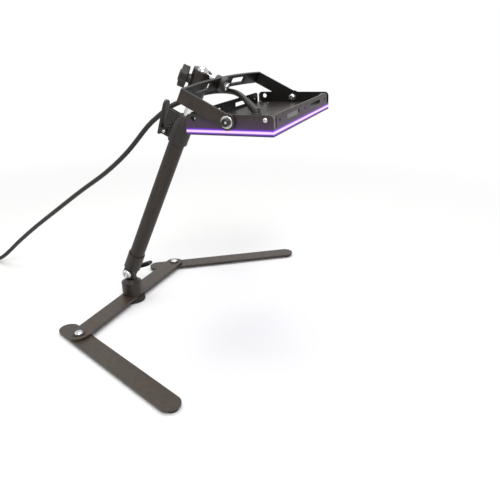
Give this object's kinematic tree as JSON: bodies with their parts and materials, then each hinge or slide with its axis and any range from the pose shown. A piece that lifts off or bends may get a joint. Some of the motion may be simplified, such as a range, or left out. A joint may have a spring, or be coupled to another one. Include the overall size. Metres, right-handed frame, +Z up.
{
  "type": "screen printing exposure unit",
  "caption": "Ultraviolet lamp for exposing print screens: a shallow metal lamp on a U bracket, ball head and telescopic pole, on a folding stand of flat steel strips.",
  "frame": {"origin": "centre of the foot under the post, on the surface the stand rests on", "axes": "+Z up; +Y along the cross bar from the near rivet to the far rivet; +X from the post towards the lamp"},
  "size_m": [0.7382, 0.4907, 0.3576],
  "materials": {
    "black_strip": "satin powder coat",
    "black_paint": "matte",
    "grey_plate": "satin",
    "zinc": "brushed",
    "chrome": "polished",
    "machined": "machined",
    "rubber": "matte",
    "black_plastic": "matte",
    "grey_plastic": "satin",
    "nylon": "matte",
    "lit_cover": "lit acrylic",
    "board_white": "matte",
    "chip": "gloss",
    "lead": "matte"
  },
  "bodies": {
    "base": {"cross_bar": "black_strip", "leg_washers": "nylon", "leg_rivets": "zinc", "rivet_washers": "black_paint", "centre_foot": "rubber", "post_screw": "zinc", "power_cord": "lead", "cord_coil": "lead", "cord_tail": "lead", "coil_tie": "black_plastic", "plug_body": "black_plastic", "plug_pins": "zinc"},
    "near_leg": {"leg_near": "black_strip", "foot_pads_near": "rubber"},
    "far_leg": {"leg_far": "black_strip", "foot_pads_far": "rubber"},
    "post": {"post_socket": "black_paint"},
    "pole": {"tube_collar": "black_paint", "hinge_bolt": "zinc", "lower_tube": "black_strip", "tube_bush": "black_plastic", "lock_collar": "black_plastic", "clamp_screws": "black_paint", "lever_pin": "zinc"},
    "tilt_knob": {"wing_knob": "black_plastic"},
    "lever": {"lock_lever": "grey_plastic"},
    "rod": {"inner_rod": "zinc", "rod_stop": "black_plastic"},
    "head": {"ball_head_body": "black_paint", "ball_pad": "nylon"},
    "head_knob": {"star_knob": "black_plastic"},
    "ball": {"ball_stem": "chrome", "stem_platform": "machined", "clamp_nut": "machined"},
    "bracket": {"lamp_bracket": "black_paint", "pivot_bolts": "black_paint", "pivot_washers": "zinc", "friction_washers": "nylon", "pivot_nuts": "zinc"},
    "lamp": {"lamp_tray": "grey_plate", "flange_screws": "zinc", "board_screws": "zinc", "led_board": "board_white", "led_chips": "chip", "lens_cover": "lit_cover", "bezel_frame": "black_paint", "bezel_screws": "zinc", "cable_gland": "black_plastic"}
  },
  "joints": [
    {"name": "near_leg_fold", "type": "hinge", "parent": "base", "child": "near_leg", "pos_m": [0, -0.132, 0.005], "axis": [0, 0, 1], "range_deg": [-67, 56]},
    {"name": "far_leg_fold", "type": "hinge", "parent": "base", "child": "far_leg", "pos_m": [0, 0.132, 0.005], "axis": [0, 0, 1], "range_deg": [-68, 55]},
    {"name": "post_swivel", "type": "hinge", "parent": "base", "child": "post", "pos_m": [0, 0, 0.02], "axis": [0, 0, 1], "range_deg": [-90, 90]},
    {"name": "post_tilt", "type": "hinge", "parent": "post", "child": "pole", "pos_m": [0, 0, 0.048], "axis": [0, 1, 0], "range_deg": [-56, 34]},
    {"name": "wing_knob_turn", "type": "hinge", "parent": "pole", "child": "tilt_knob", "pos_m": [0, 0.02, 0.048], "axis": [0, 1, 0], "range_deg": [-180, 180]},
    {"name": "lock_lever_flip", "type": "hinge", "parent": "pole", "child": "lever", "pos_m": [0.08407, 0, 0.27111], "axis": [0, 1, 0], "range_deg": [-75, 0]},
    {"name": "rod_extend", "type": "slide", "parent": "pole", "child": "rod", "axis": [0.4337, 0, 0.9011], "range_m": [-0.02, 0.06]},
    {"name": "head_swivel", "type": "hinge", "parent": "rod", "child": "head", "pos_m": [0.1288, 0, 0.31562], "axis": [0.4337, 0, 0.9011], "range_deg": [-90, 90]},
    {"name": "star_knob_turn", "type": "hinge", "parent": "head", "child": "head_knob", "pos_m": [0.12132, -0.00782, 0.34253], "axis": [0.8294, 0.3907, -0.3992], "range_deg": [-180, 180]},
    {"name": "ball_tilt", "type": "hinge", "parent": "head", "child": "ball", "pos_m": [0.14354, 0, 0.34626], "axis": [0, 1, 0], "range_deg": [-125, 0]},
    {"name": "bracket_swivel", "type": "hinge", "parent": "ball", "child": "bracket", "pos_m": [0.14354, 0, 0.34626], "axis": [0.9026, 0, -0.4305], "range_deg": [-90, 90]},
    {"name": "lamp_tilt", "type": "hinge", "parent": "bracket", "child": "lamp", "pos_m": [0.22793, 0, 0.306], "axis": [0, 1, 0], "range_deg": [-90, 90], "deforming": ["power_cord"]}
  ]
}
